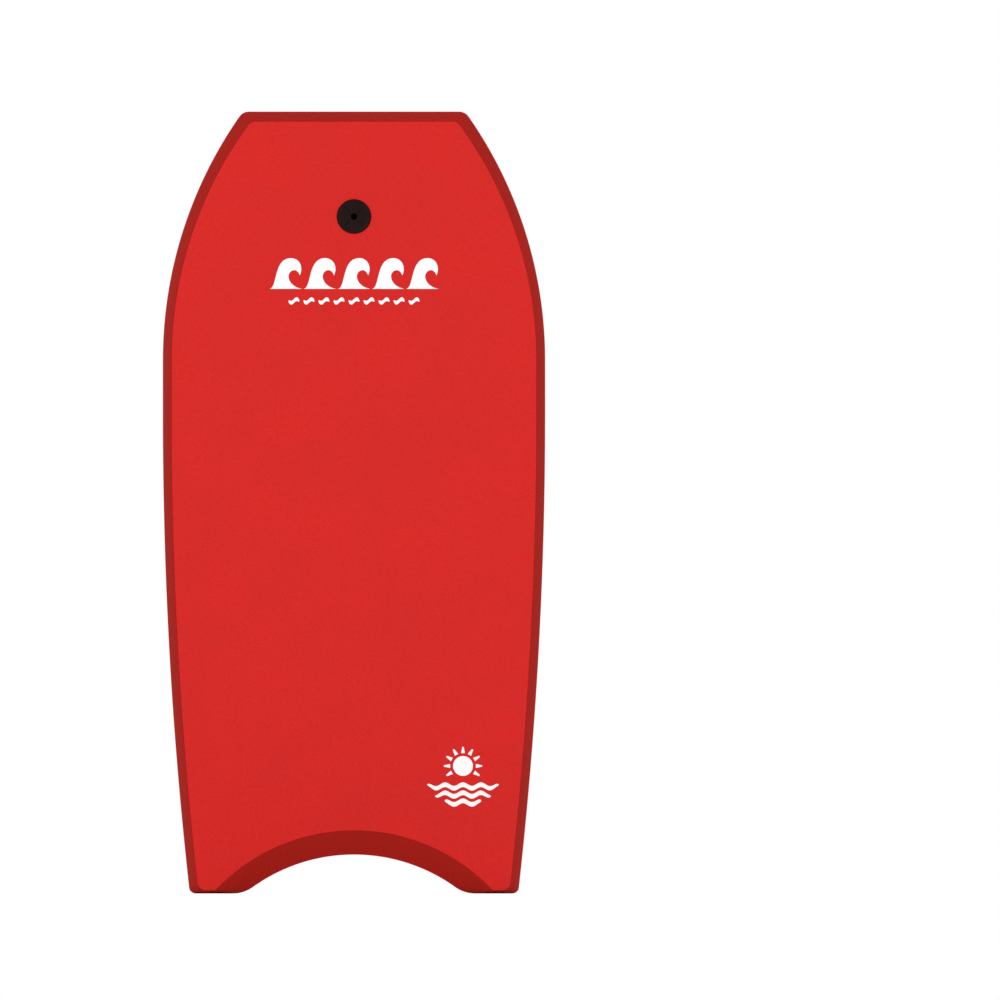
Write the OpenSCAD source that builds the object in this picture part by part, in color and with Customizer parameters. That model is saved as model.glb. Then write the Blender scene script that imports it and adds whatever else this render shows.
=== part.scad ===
// Bodyboard with a squared nose and a crescent tail, standing upright on its two tail tips.
// Everything is drawn lying on its slick: x across, y from the tail line to the nose, z from
// the slick up to the deck. The module upright() then stands it up with the deck facing -Y.

/* [Board] */
// Length from the tail line to the nose
board_length = 1067; // [1040:1:1100]
// Width at the widest point
board_width = 522.6; // [510:0.1:535]
// Thickness from the slick to the deck
thickness = 55; // [52:0.5:60]
// Height of the rails' widest line above the slick
apex_height = 40; // [36:0.5:42]

/* [Plan shape] */
// Radius of the long curve that runs from the nose into the parallel sides
side_radius = 580; // [560:1:600]
// Distance from the nose to where the parallel sides begin
shoulder_from_nose = 339; // [330:1:345]
// Distance from the tail line to where the sides begin to draw in
hip_from_tail = 650; // [640:1:655]
// Radius of the long curve that draws the sides in towards the tail
hip_radius = 5766; // [5700:1:5850]
// Angle between the sides and the centre line at the tail
tail_angle = 6.2; // [6.1:0.01:6.3]
// Radius of the nose corners
nose_corner = 16; // [14:0.5:20]
// Radius of the outer tail corners
tail_corner = 9; // [8:0.5:10]

/* [Crescent tail] */
// Radius of the crescent
bay_radius = 237; // [232:1:243]
// Depth of the crescent above the tail line
bay_depth = 53; // [48:0.5:56]
// Radius that rounds the tail tips into the crescent
tip_radius = 47; // [44:0.5:50]

/* [Rails and chines] */
// Width of the bevel between the rails' widest line and the deck along the sides
chine_width = 12.3; // [11:0.1:14]
// Width of the same bevel across the nose
nose_chine_width = 13.6; // [12:0.1:15]
// Width of the same bevel at the middle of the crescent
bay_chine_width = 32.8; // [30:0.1:35]
// Width of the same bevel at the tail tips
tip_chine_width = 4; // [3:0.1:4.5]
// How far the rails lean in from their widest line to the slick along the sides
rail_lean = 17; // [15:0.1:19]
// How far the nose leans in from its widest line to the slick
nose_lean = 3; // [2:0.1:4]
// Thickness of the foam strips on the rails, nose and tail
strip = 8; // [7:0.5:9]

/* [Layers] */
// Thickness of the plastic slick skin
slick_skin_t = 1; // [0.8:0.1:1.2]
// Thickness of the foam sheet behind the slick skin
backing_t = 3; // [2:0.1:4]
// Thickness of each stiffening mesh
mesh_t = 0.5; // [0.4:0.1:0.8]
// Thickness of the foam deck skin
deck_skin_t = 4.5; // [4:0.1:6]

/* [Channels] */
// Width of each channel in the slick
channel_width = 27.5; // [22:0.5:28]
// Distance from the tail line to the channels' front tips
channel_length = 275; // [260:1:290]
// Length of the rounded front end of a channel
channel_nose = 94; // [70:1:100]
// Depth of a channel's inner wall at the tail line
channel_depth = 10; // [8:0.5:11]
// Depth of a channel's outer wall at the tail line
channel_outer_depth = 3; // [2:0.5:4]
// Distance from the tail line to where the outer wall runs out
channel_outer_run = 208; // [190:1:230]
// Distance from the centre line to a channel's outer edge at the tail line
channel_edge = 146; // [140:1:150]
// Angle between a channel and the centre line
channel_angle = 5.1; // [4.5:0.1:5.5]

/* [Stringer] */
// Height of the stringer's centre above the slick
stringer_height = 27; // [26:0.5:30]
// Outer diameter of the stringer tube
stringer_d = 10; // [9:0.5:12]
// Wall of the stringer tube
stringer_wall = 1.5; // [1:0.1:2]
// Clearance around the stringer in its bore
stringer_gap = 0.2; // [0.1:0.1:0.3]
// Distance from the leash plug's centre to the closed end of the stringer's bore
stringer_stop = 74; // [60:1:90]
// Length of the foam plug that closes the bore at the tail
bore_plug_length = 24; // [20:1:30]

/* [Leash plug] */
// Distance from the nose to the plug's centre
plug_from_nose = 143.3; // [140:0.1:147]
// Diameter of the two flanges
flange_d = 46.4; // [44:0.1:48]
// How far each flange stands proud of the board
flange_proud = 1.5; // [1:0.1:2]
// How far each flange is let into the board
flange_sunk = 1.5; // [1.2:0.1:2]
// Diameter of the hole for the leash cord
cord_hole_d = 8; // [7:0.5:9]
// Diameter of the two holes in the slick half, where the cord loops round the bridge between them
loop_hole_d = 4; // [3.5:0.1:4]
// Distance from the plug's axis to the middle of each of those holes
loop_hole_offset = 6.1; // [6.05:0.05:6.15]
// Outer diameter of the socket and of the collar that meets it
socket_d = 22; // [21:0.5:24]
// Outer diameter of the screwed shaft
shaft_d = 16; // [15:0.5:17]

/* [Hidden] */
$fn = 48;

deck_red = "#D62D2A";
chine_red = "#A52923";
plug_black = "#231814";
half_width = board_width / 2;
shoulder_y = board_length - shoulder_from_nose;

// Heights of the layer faces above the slick
backing_top = slick_skin_t + backing_t;
core_base = backing_top + mesh_t;
deck_base = thickness - deck_skin_t;
core_top = deck_base - mesh_t;

// Segments of each stretch of half an outline, in order from the nose to the crescent's middle
nose_steps = 6;
side_steps = 14;
hip_steps = 10;
tail_steps = 6;
tip_steps = 6;
bay_steps = 14;
mitre = nose_steps / 2;
tail_joint = nose_steps + side_steps + hip_steps + tail_steps + 2;
half_count = tail_joint + 1 + tip_steps + 1 + bay_steps;
full_count = 2 * half_count - 1;

function arc(centre, r, from, to, steps) =
    [for (i = [0:steps]) let (a = from + (to - from) * i / steps) centre + r * [cos(a), sin(a)]];
function tail_of(list) = [for (i = [1:len(list) - 1]) list[i]];

// What defines an outline: half width, side curve's radius, nose line and its corner's radius,
// tail line and its corner's radius, crescent's radius and top, and tail tip's radius
apex_shape = [
    half_width, side_radius, board_length, nose_corner,
    0, tail_corner, bay_radius, bay_depth, tip_radius
];

// What moves an outline inwards by 1 mm all round, and the tail line's place in the list
INWARDS = [-1, -1, -1, -1, 1, -1, 1, 1, -1];
TAIL_LINE = 4;

// Around the slick the sides curve less and the corners are tighter than along the widest line
base_flatter = 30;
base_nose_tighter = 2;
base_tail_tighter = 1;
base_shape = apex_shape + [
    -rail_lean, base_flatter, -nose_lean, -base_nose_tighter,
    0, -base_tail_tighter, 0, 0, 0
];

// The slick skin is trimmed this far inside the rails' edge
skin_setback = 0.5;
slick_shape = base_shape + skin_setback * INWARDS;

// Around the deck the bevel is wider at the nose and in the crescent than along the sides
deck_rounder = 37;
deck_nose_tighter = 5;
deck_tail_wider = 3;
deck_bay_wider = 22;
deck_tip_tighter = 40;
deck_shape = apex_shape + [
    -chine_width, -deck_rounder, -nose_chine_width, -deck_nose_tighter,
    tip_chine_width, deck_tail_wider, deck_bay_wider, bay_chine_width, -deck_tip_tighter
];

// The core lies inside the foam strips
core_corner = 3;
base_wall = 6;
core_base_shape = [
    half_width - rail_lean - base_wall, side_radius + base_flatter - base_wall,
    board_length - nose_lean - strip, nose_corner - base_nose_tighter - base_wall,
    strip, core_corner, bay_radius + strip, bay_depth + strip, tip_radius - strip
];
core_apex_shape = [
    half_width - strip, side_radius - strip, board_length - strip, nose_corner - strip,
    strip, core_corner, bay_radius + strip, bay_depth + strip, tip_radius - strip
];

// Under the deck skin the chine strips reach in beyond the skin's edge
chine_foot = 4;
tail_foot = 2;
core_top_shape = [
    for (i = [0:len(deck_shape) - 1])
        i == TAIL_LINE ? strip + tail_foot : deck_shape[i] + chine_foot * INWARDS[i]
];

// Half an outline on the +X side, from the nose's corner round to the middle of the crescent
function half_outline(shape) =
    let (
        w = shape[0], side_r = shape[1], nose = shape[2], nose_r = shape[3],
        tail = shape[4], tail_r = shape[5], bay_r = shape[6], bay_top = shape[7], tip_r = shape[8],
        side_c = [w - side_r, shoulder_y],
        nose_cy = nose - nose_r,
        nose_c = [side_c.x + sqrt((side_r - nose_r) ^ 2 - (nose_cy - side_c.y) ^ 2), nose_cy],
        nose_a = atan2(nose_c.y - side_c.y, nose_c.x - side_c.x),
        hip_c = [half_width - hip_radius, hip_from_tail],
        hip_r = w - hip_c.x,
        reach = hip_c.x * cos(tail_angle) - hip_c.y * sin(tail_angle) + hip_r,
        tail_cy = tail + tail_r,
        tail_c = [(reach - tail_r + tail_cy * sin(tail_angle)) / cos(tail_angle), tail_cy],
        bay_c = [0, bay_top - bay_r],
        tip_cy = tail + tip_r,
        tip_c = [sqrt((bay_r + tip_r) ^ 2 - (tip_cy - bay_c.y) ^ 2), tip_cy],
        tip_a = atan2(bay_c.y - tip_c.y, -tip_c.x)
    )
    concat(
        arc(nose_c, nose_r, 90, nose_a, nose_steps),
        tail_of(arc(side_c, side_r, nose_a, 0, side_steps)),
        arc(hip_c, hip_r, 0, -tail_angle, hip_steps),
        arc(tail_c, tail_r, -tail_angle, -90, tail_steps),
        arc(tip_c, tip_r, -90, tip_a, tip_steps),
        tail_of(arc(bay_c, bay_r, tip_a + 180, 90, bay_steps))
    );

function whole(half) = concat(half, [for (i = [len(half) - 2:-1:0]) [-half[i].x, half[i].y]]);

// The outlines that the layers and strips are built on. Each has the same number of points.
apex_outline = whole(half_outline(apex_shape));
base_outline = whole(half_outline(base_shape));
slick_outline = whole(half_outline(slick_shape));
deck_outline = whole(half_outline(deck_shape));
core_base_outline = whole(half_outline(core_base_shape));
core_apex_outline = whole(half_outline(core_apex_shape));
core_top_outline = whole(half_outline(core_top_shape));

function raised(points, z) = [for (p = points) [p.x, p.y, z]];

// The two triangles of a four-cornered face, cut along the diagonal that mirrors the board's
// left half from its right half. i is the face's place along the outline.
function halves(a, b, c, d, i) =
    (i + full_count) % full_count < half_count - 1 ? [[a, b, d], [b, c, d]] : [[a, b, c], [a, c, d]];

// A solid whose skin joins outlines of equal count, lowest first
module lofted(layers) {
    n = len(layers[0]);
    top = (len(layers) - 1) * n;
    polyhedron(
        points = [for (layer = layers) each layer],
        faces = concat(
            [[for (i = [n - 1:-1:0]) i]],
            [[for (i = [0:n - 1]) top + i]],
            [for (k = [0:len(layers) - 2], i = [0:n - 1])
                let (low = k * n + i, next = k * n + (i + 1) % n)
                each halves(low, next, next + n, low + n, i)]
        ));
}

// A foam strip that follows the outlines from point first to point last. The corners of its
// cross section are given as outlines in 3D, starting at the widest line.
module foam_strip(corners, first, last) {
    k = len(corners);
    n = last - first + 1;
    end = (n - 1) * k;
    polyhedron(
        points = [for (i = [first:last]) for (corner = corners) corner[(i + full_count) % full_count]],
        faces = concat(
            [for (j = [1:k - 2]) [0, j, j + 1]],
            [for (j = [1:k - 2]) [end, end + j + 1, end + j]],
            [for (i = [0:n - 2], j = [0:k - 1])
                let (a = i * k + j, b = i * k + (j + 1) % k)
                each halves(b, a, a + k, b + k, first + i)]
        ));
}

rail_corners = [
    raised(apex_outline, apex_height),
    raised(core_apex_outline, apex_height),
    raised(core_base_outline, core_base),
    raised(core_base_outline, slick_skin_t),
    raised(slick_outline, slick_skin_t),
    raised(slick_outline, 0),
    raised(base_outline, 0)
];
chine_corners = [
    raised(apex_outline, apex_height),
    raised(deck_outline, thickness),
    raised(deck_outline, deck_base),
    raised(core_top_outline, deck_base),
    raised(core_top_outline, core_top),
    raised(core_apex_outline, apex_height)
];

// How far the cutting shapes run past what they cut
beyond = 30;

// Directions along the +X channel and across it towards the centre line, from its outer corner
channel_steps = 10;
along = [sin(channel_angle), cos(channel_angle)];
inward = [-cos(channel_angle), sin(channel_angle)];
channel_corner = [channel_edge, 0];
function channel_point(u, v) = channel_corner + v * along + u * inward;

// Plan of the +X channel, grown by a layer's thickness. Its front end is a quarter of an ellipse.
function channel_plan(grow) =
    let (
        wide = channel_width + 2 * grow,
        start = channel_length - channel_nose
    )
    concat(
        [channel_point(-grow, -beyond)],
        [for (i = [0:channel_steps])
            let (a = 90 * i / channel_steps)
            channel_point(wide * sin(a) - grow, start + (channel_nose + grow) * cos(a))],
        [channel_point(wide - grow, -beyond)]
    );

// Height of the channel's flat floor, u inwards of the outer edge and v along it
function floor_height(u, v) =
    channel_outer_depth * (1 - v / channel_outer_run)
    + (channel_depth - channel_outer_depth) * u / channel_width;

// Everything under a channel's floor, raised by a layer's thickness
module under_floor(grow) {
    ends = [[-beyond, -2 * beyond], [2 * beyond, -2 * beyond],
        [2 * beyond, channel_length + beyond], [-beyond, channel_length + beyond]];
    function corner_at(e, z) = let (p = channel_point(e.x, e.y)) [p.x, p.y, z];
    polyhedron(
        points = concat(
            [for (e = ends) corner_at(e, -2 * beyond)],
            [for (e = ends) corner_at(e, floor_height(e.x, e.y) + grow)]
        ),
        faces = [
            [0, 2, 1], [0, 3, 2], [5, 6, 7], [4, 5, 7], [4, 0, 1], [5, 4, 1],
            [5, 1, 2], [6, 5, 2], [6, 2, 3], [7, 6, 3], [7, 3, 0], [4, 7, 0]
        ]);
}

// Both channels as solids, deepest along their inner walls, grown by a layer's thickness
module channels(grow) {
    for (side = [0, 1])
        mirror([side, 0, 0])
            intersection() {
                translate([0, 0, -beyond])
                    linear_extrude(channel_depth + grow + 2 * beyond)
                        polygon(channel_plan(grow));
                under_floor(grow);
            }
}

module upright() {
    translate([0, thickness / 2, 0])
        rotate([90, 0, 0])
            children();
}

module at_plug(z = 0) {
    translate([0, board_length - plug_from_nose, z])
        children();
}

// The round hole for the plug through the core and the skins
plug_gap = 0.2;
module plug_hole() {
    at_plug(-beyond)
        cylinder(d = socket_d + 2 * plug_gap, h = thickness + 2 * beyond);
}

// A flat layer between two heights
module layer(outline, bottom, top) {
    translate([0, 0, bottom])
        linear_extrude(top - bottom)
            polygon(outline);
}

// The stringer lies on the centre line in a bore from the crescent's end of the core
bore_d = stringer_d + 2 * stringer_gap;
bore_start = bay_depth + strip;
bore_end = board_length - plug_from_nose - stringer_stop;
cap_t = 2;
spigot = 8;
spigot_gap = 0.1;
spigot_root = 0.5;
tube_start = bore_start + bore_plug_length + cap_t;
tube_end = bore_end - cap_t;

module rod(d, from, to) {
    translate([0, from, stringer_height])
        rotate([-90, 0, 0])
            cylinder(d = d, h = to - from);
}

module core() {
    color("white")
        upright()
            difference() {
                lofted([
                    raised(core_base_outline, core_base),
                    raised(core_apex_outline, apex_height),
                    raised(core_top_outline, core_top)
                ]);
                channels(core_base);
                plug_hole();
                rod(bore_d, bore_start - beyond, bore_end);
            }
}

module stringer() {
    color("dimgray")
        upright()
            difference() {
                rod(stringer_d, tube_start, tube_end);
                rod(stringer_d - 2 * stringer_wall, tube_start - beyond, tube_end + beyond);
            }
}

// A flat cap with a spigot that fits inside the tube
module tube_cap(face, spigot_from) {
    color("black")
        upright() {
            rod(stringer_d, face, face + cap_t);
            rod(
                stringer_d - 2 * stringer_wall - 2 * spigot_gap,
                spigot_from, spigot_from + spigot + spigot_root);
        }
}

module stringer_nose_cap() {
    tube_cap(tube_end, tube_end - spigot);
}

module stringer_tail_cap() {
    tube_cap(tube_start - cap_t, tube_start - spigot_root);
}

module bore_plug() {
    color("whitesmoke")
        upright()
            rod(bore_d, bore_start, bore_start + bore_plug_length);
}

module deck_mesh() {
    color("gainsboro")
        upright()
            difference() {
                layer(core_top_outline, core_top, deck_base);
                plug_hole();
            }
}

module deck_skin() {
    color(deck_red)
        upright()
            difference() {
                layer(deck_outline, deck_base, thickness);
                plug_hole();
                at_plug(thickness - flange_sunk)
                    cylinder(d = flange_d + 2 * plug_gap, h = beyond);
            }
}

// A layer under the board that follows the channels
module bottom_layer(outline, bottom, top) {
    difference() {
        union() {
            layer(outline, bottom, top);
            intersection() {
                channels(top);
                layer(outline, bottom, channel_depth + top + beyond);
            }
        }
        channels(bottom);
        plug_hole();
        at_plug(flange_sunk - beyond)
            cylinder(d = flange_d + 2 * plug_gap, h = beyond);
    }
}

module slick_mesh() {
    color("gainsboro")
        upright()
            bottom_layer(core_base_outline, backing_top, core_base);
}

module slick_backing() {
    color("lightgray")
        upright()
            bottom_layer(core_base_outline, slick_skin_t, backing_top);
}

module slick_skin() {
    color("white")
        upright()
            bottom_layer(slick_outline, 0, slick_skin_t);
}

module right_rail() {
    color(deck_red)
        upright()
            foam_strip(rail_corners, mitre, tail_joint);
}

module left_rail() {
    color(deck_red)
        upright()
            foam_strip(rail_corners, full_count - 1 - tail_joint, full_count - 1 - mitre);
}

module nose_rail() {
    color(deck_red)
        upright()
            foam_strip(rail_corners, -1 - mitre, mitre);
}

module tail_rail() {
    color(deck_red)
        upright()
            difference() {
                foam_strip(rail_corners, tail_joint, full_count - 1 - tail_joint);
                channels(slick_skin_t);
            }
}

module right_chine() {
    color(chine_red)
        upright()
            foam_strip(chine_corners, mitre, tail_joint);
}

module left_chine() {
    color(chine_red)
        upright()
            foam_strip(chine_corners, full_count - 1 - tail_joint, full_count - 1 - mitre);
}

module nose_chine() {
    color(chine_red)
        upright()
            foam_strip(chine_corners, -1 - mitre, mitre);
}

module tail_chine() {
    color(chine_red)
        upright()
            foam_strip(chine_corners, tail_joint, full_count - 1 - tail_joint);
}

// Heights of the plug's parts above the slick
collar_length = 10;
collar_base = thickness - flange_sunk - collar_length;
collar_gap = 0.5;
socket_top = collar_base - collar_gap;
socket_floor = 6;
loop_room = 5;
shaft_base = socket_floor + loop_room;
shaft_gap = 0.2;

// The flange's chamfer and segments, and the slots that a spanner turns it by
edge = 0.8;
flange_steps = 96;
slot_w = 2.4;
slot_depth = 1;
slot_from = 8;
slot_to = 17;

// A flange with a chamfered rim, from its sunk face up to its proud face
module flange() {
    rise = flange_sunk + flange_proud;
    rotate_extrude($fn = flange_steps)
        polygon([
            [0, 0],
            [flange_d / 2, 0],
            [flange_d / 2, rise - edge],
            [flange_d / 2 - edge, rise],
            [0, rise]
        ]);
}

// Four slots that a spanner turns the flange by
module spanner_slots() {
    for (turn = [45:90:315])
        rotate([0, 0, turn])
            translate([slot_from, -slot_w / 2, flange_sunk + flange_proud - slot_depth])
                cube([slot_to - slot_from, slot_w, beyond]);
}

// The deck half: a flange, a collar and the screwed shaft, with the cord's hole right through
module plug_deck_half() {
    color(plug_black)
        upright()
            at_plug()
                difference() {
                    union() {
                        translate([0, 0, thickness - flange_sunk])
                            flange();
                        translate([0, 0, collar_base])
                            cylinder(d = socket_d, h = collar_length);
                        translate([0, 0, shaft_base])
                            cylinder(d = shaft_d, h = collar_base - shaft_base);
                    }
                    translate([0, 0, -beyond])
                        cylinder(d = cord_hole_d, h = thickness + 2 * beyond);
                    translate([0, 0, thickness - flange_sunk])
                        spanner_slots();
                }
}

// The slick half: a flange and the socket for the shaft. The cord loops round the bridge between
// the two holes in its floor, which lie outside the cord's hole in the deck half.
module plug_slick_half() {
    color(plug_black)
        upright()
            at_plug()
                difference() {
                    union() {
                        translate([0, 0, flange_sunk])
                            mirror([0, 0, 1])
                                flange();
                        translate([0, 0, flange_sunk])
                            cylinder(d = socket_d, h = socket_top - flange_sunk);
                    }
                    translate([0, 0, socket_floor])
                        cylinder(d = shaft_d + 2 * shaft_gap, h = thickness);
                    for (x = [-loop_hole_offset, loop_hole_offset])
                        translate([x, 0, -beyond])
                            cylinder(d = loop_hole_d, h = beyond + socket_floor + loop_room);
                    translate([0, 0, flange_sunk])
                        mirror([0, 0, 1])
                            spanner_slots();
                }
}

core();
stringer();
stringer_nose_cap();
stringer_tail_cap();
bore_plug();
deck_mesh();
deck_skin();
slick_mesh();
slick_backing();
slick_skin();
left_rail();
right_rail();
nose_rail();
tail_rail();
left_chine();
right_chine();
nose_chine();
tail_chine();
plug_deck_half();
plug_slick_half();
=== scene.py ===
"""Looks of the bodyboard: foam skins, strips, a printed slick, a leash plug and generic prints.

Lengths in this script are millimetres on the board as it lies on its slick: x across, y from the
tail line to the nose, z from the slick up to the deck. place() turns them into the frame's metres,
where the board stands on its tail with the deck facing -Y.
"""
import math

import bmesh
import bpy
import numpy as np
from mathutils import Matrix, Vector


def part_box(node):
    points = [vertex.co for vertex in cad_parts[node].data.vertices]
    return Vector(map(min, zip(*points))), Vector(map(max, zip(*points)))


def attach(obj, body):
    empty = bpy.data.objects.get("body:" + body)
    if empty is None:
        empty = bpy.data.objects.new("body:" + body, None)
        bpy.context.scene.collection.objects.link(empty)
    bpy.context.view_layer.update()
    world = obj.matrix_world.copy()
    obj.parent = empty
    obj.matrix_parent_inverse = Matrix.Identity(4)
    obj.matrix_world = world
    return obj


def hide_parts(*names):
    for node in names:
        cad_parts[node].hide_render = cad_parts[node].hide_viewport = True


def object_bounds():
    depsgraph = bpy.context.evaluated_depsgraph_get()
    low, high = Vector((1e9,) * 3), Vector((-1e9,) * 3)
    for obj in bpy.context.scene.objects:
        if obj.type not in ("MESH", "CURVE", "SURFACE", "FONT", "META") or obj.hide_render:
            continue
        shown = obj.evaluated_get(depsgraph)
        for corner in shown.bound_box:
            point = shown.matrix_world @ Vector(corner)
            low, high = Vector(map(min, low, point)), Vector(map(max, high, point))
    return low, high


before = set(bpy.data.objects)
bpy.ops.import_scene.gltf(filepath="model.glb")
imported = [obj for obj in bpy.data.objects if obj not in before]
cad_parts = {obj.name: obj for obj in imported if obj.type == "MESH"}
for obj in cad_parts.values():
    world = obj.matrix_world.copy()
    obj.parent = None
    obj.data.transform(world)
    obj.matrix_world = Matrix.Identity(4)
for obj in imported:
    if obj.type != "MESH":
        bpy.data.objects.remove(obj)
cad_low, cad_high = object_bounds()

MM = 0.001

# ---------------------------------------------------------------- sizes that the frame gives
deck_low, deck_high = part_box("deck_skin")
_, slick_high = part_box("slick_skin")
plug_low, plug_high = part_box("plug_deck_half")
THICK = (slick_high.y - deck_low.y) / MM
HALF = (cad_high.x - cad_low.x) / 2 / MM
LENGTH = (cad_high.z - cad_low.z) / MM
DECK_BASE = THICK - (deck_high.y - deck_low.y) / MM
PLUG_Y = (plug_low.z + plug_high.z) / 2 / MM
FLANGE_R = (plug_high.x - plug_low.x) / 2 / MM
PROUD = (deck_low.y - plug_low.y) / MM

# ---------------------------------------------------------------- the board's design values
# These are part.scad's values, which the frame doesn't give. APEX is the widest line's height.
APEX = 40.0
SIDE_R = 580.0
SHOULDER_Y = LENGTH - 339.0
HIP_Y = 650.0
HIP_R = 5766.0
TAIL_ANGLE = 6.2
NOSE_R = 16.0
TAIL_R = 9.0
BAY_R = 237.0
BAY_DEPTH = 53.0
TIP_R = 47.0
CHINE = 12.3
NOSE_CHINE = 13.6
BAY_CHINE = 32.8
TIP_CHINE = 4.0
RAIL_LEAN = 17.0
NOSE_LEAN = 3.0
STRIP = 8.0
SKIN = 1.0
CORE_BASE = 4.5
CORE_TOP = DECK_BASE - 0.5
# How far the slick stays inside the board's lower edge
SETBACK = 0.5

# The leash plug. Its flanges are let into the skins by SUNK. The deck half's collar ends just short
# of the slick half's socket, and its shaft goes on into it. PLUG_GAP is the play round them.
SUNK = 1.5
PLUG_GAP = 0.2
SOCKET_R = 11.0
SHAFT_R = 8.0
SHAFT_FOOT = 11.0
SHAFT_BEVEL = 0.6
SOCKET_FLOOR = 6.0
COLLAR = 10.0
COLLAR_GAP = 0.5
CORD_R = 4.0
LOOP_HOLE_R = 2.0
LOOP_HOLE_OFFSET = 6.1

# The two channels
CHANNEL_EDGE = 146.0
CHANNEL_ANGLE = math.radians(5.1)
CHANNEL_W = 27.5
CHANNEL_LENGTH = 275.0
CHANNEL_NOSE = 94.0
CHANNEL_DEPTH = 10.0
CHANNEL_OUTER_DEPTH = 3.0
CHANNEL_OUTER_RUN = 208.0

# The printed squares, measured on the photo, and the white margin round them
SQUARE = 107.0
FIRST_LINE = 64.0
LINE_COUNT = 10
COLUMN_SHIFT = -4.6
MARGIN = 5.5

# The slick's setback at the tail, where the photo shows no rail under it
TAIL_SETBACK = 0.1
# Radii of the deck's seam, of the widest line's edge and of the rail's edge beside the slick
SEAM_R = 0.9
EDGE_R = 1.6
BASE_R = 1.2
# Widths that the channels' two walls take up in plan, and the strip at their edges left without
# painted shade
INNER_WALL = 1.2
OUTER_WALL = 1.2
SHADE_EDGE = 0.05
# The channels' painted shade, a fixed darkening that stands in for their shading: its share at the
# outer edge, its share at the inner wall in front, how much of that is lost towards the tail, and
# how far from the wall the loss reaches
SHADE_OUTER = 0.35
SHADE_FRONT = 0.6
SHADE_DROP = 0.4
WALL_SHADOW = 12.0


def place(x, y, z):
    """A place on the board, in millimetres, as a place in the frame."""
    return Vector((x * MM, (THICK / 2 - z) * MM, y * MM))


# ---------------------------------------------------------------- outlines
# How many steps each piece of half an outline is drawn with
STEPS = {"nose": 12, "side": 72, "hip": 40, "straight": 4, "tail": 12, "tip": 28, "bay": 56}


def arc(centre, r, start, stop, steps):
    a = np.radians(np.linspace(start, stop, steps + 1))
    return np.stack([centre[0] + r * np.cos(a), centre[1] + r * np.sin(a)], axis=1)


def half_outline(w, side_r, nose, nose_r, tail, tail_r, bay_r, bay_top, tip_r):
    """Half an outline on the +x side, from the nose's corner round to the crescent's middle."""
    side_c = (w - side_r, SHOULDER_Y)
    nose_cy = nose - nose_r
    nose_c = (side_c[0] + math.sqrt((side_r - nose_r) ** 2 - (nose_cy - side_c[1]) ** 2), nose_cy)
    nose_a = math.degrees(math.atan2(nose_c[1] - side_c[1], nose_c[0] - side_c[0]))
    hip_c = (HALF - HIP_R, HIP_Y)
    hip_r = w - hip_c[0]
    turn = math.radians(TAIL_ANGLE)
    reach = hip_c[0] * math.cos(turn) - hip_c[1] * math.sin(turn) + hip_r
    tail_cy = tail + tail_r
    tail_c = ((reach - tail_r + tail_cy * math.sin(turn)) / math.cos(turn), tail_cy)
    bay_c = (0, bay_top - bay_r)
    tip_cy = tail + tip_r
    tip_c = (math.sqrt((bay_r + tip_r) ** 2 - (tip_cy - bay_c[1]) ** 2), tip_cy)
    tip_a = math.degrees(math.atan2(bay_c[1] - tip_c[1], -tip_c[0]))
    hip = arc(hip_c, hip_r, 0, -TAIL_ANGLE, STEPS["hip"])
    corner = arc(tail_c, tail_r, -TAIL_ANGLE, -90, STEPS["tail"])
    straight = np.linspace(hip[-1], corner[0], STEPS["straight"] + 1)[1:-1]
    return np.concatenate([
        arc(nose_c, nose_r, 90, nose_a, STEPS["nose"]),
        arc(side_c, side_r, nose_a, 0, STEPS["side"])[1:],
        hip,
        straight,
        corner,
        arc(tip_c, tip_r, -90, tip_a, STEPS["tip"]),
        arc(bay_c, bay_r, tip_a + 180, 90, STEPS["bay"])[1:],
    ])


NOSE_MITRE = STEPS["nose"] // 2
CORNER_START = STEPS["nose"] + STEPS["side"] + STEPS["hip"] + 1 + STEPS["straight"]
TAIL_JOINT = CORNER_START + STEPS["tail"]
HALF_COUNT = TAIL_JOINT + 1 + STEPS["tip"] + 1 + STEPS["bay"]


def whole(half):
    return np.concatenate([half, half[-2::-1] * (-1, 1)])


# part.scad's outlines at the heights where the layers and strips meet. The added numbers are the
# CAD's own differences in radius and inset. Only the slick's differs, by coming nearer to the tail.
apex_line = whole(half_outline(HALF, SIDE_R, LENGTH, NOSE_R, 0, TAIL_R, BAY_R, BAY_DEPTH, TIP_R))
base_line = whole(half_outline(
    HALF - RAIL_LEAN, SIDE_R + 30, LENGTH - NOSE_LEAN, NOSE_R - 2,
    0, TAIL_R - 1, BAY_R, BAY_DEPTH, TIP_R))
slick_line = whole(half_outline(
    HALF - RAIL_LEAN - SETBACK, SIDE_R + 30 - SETBACK,
    LENGTH - NOSE_LEAN - SETBACK, NOSE_R - 2 - SETBACK,
    TAIL_SETBACK, TAIL_R - 1 - TAIL_SETBACK,
    BAY_R + TAIL_SETBACK, BAY_DEPTH + TAIL_SETBACK, TIP_R - TAIL_SETBACK))
deck_line = whole(half_outline(
    HALF - CHINE, SIDE_R - 37, LENGTH - NOSE_CHINE, NOSE_R - 5,
    TIP_CHINE, TAIL_R + 3, BAY_R + 22, BAY_DEPTH + BAY_CHINE, TIP_R - 40))
core_base_line = whole(half_outline(
    HALF - RAIL_LEAN - 6, SIDE_R + 24, LENGTH - NOSE_LEAN - STRIP, NOSE_R - 8,
    STRIP, 3, BAY_R + STRIP, BAY_DEPTH + STRIP, TIP_R - STRIP))
core_apex_line = whole(half_outline(
    HALF - STRIP, SIDE_R - STRIP, LENGTH - STRIP, NOSE_R - STRIP,
    STRIP, 3, BAY_R + STRIP, BAY_DEPTH + STRIP, TIP_R - STRIP))
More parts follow.
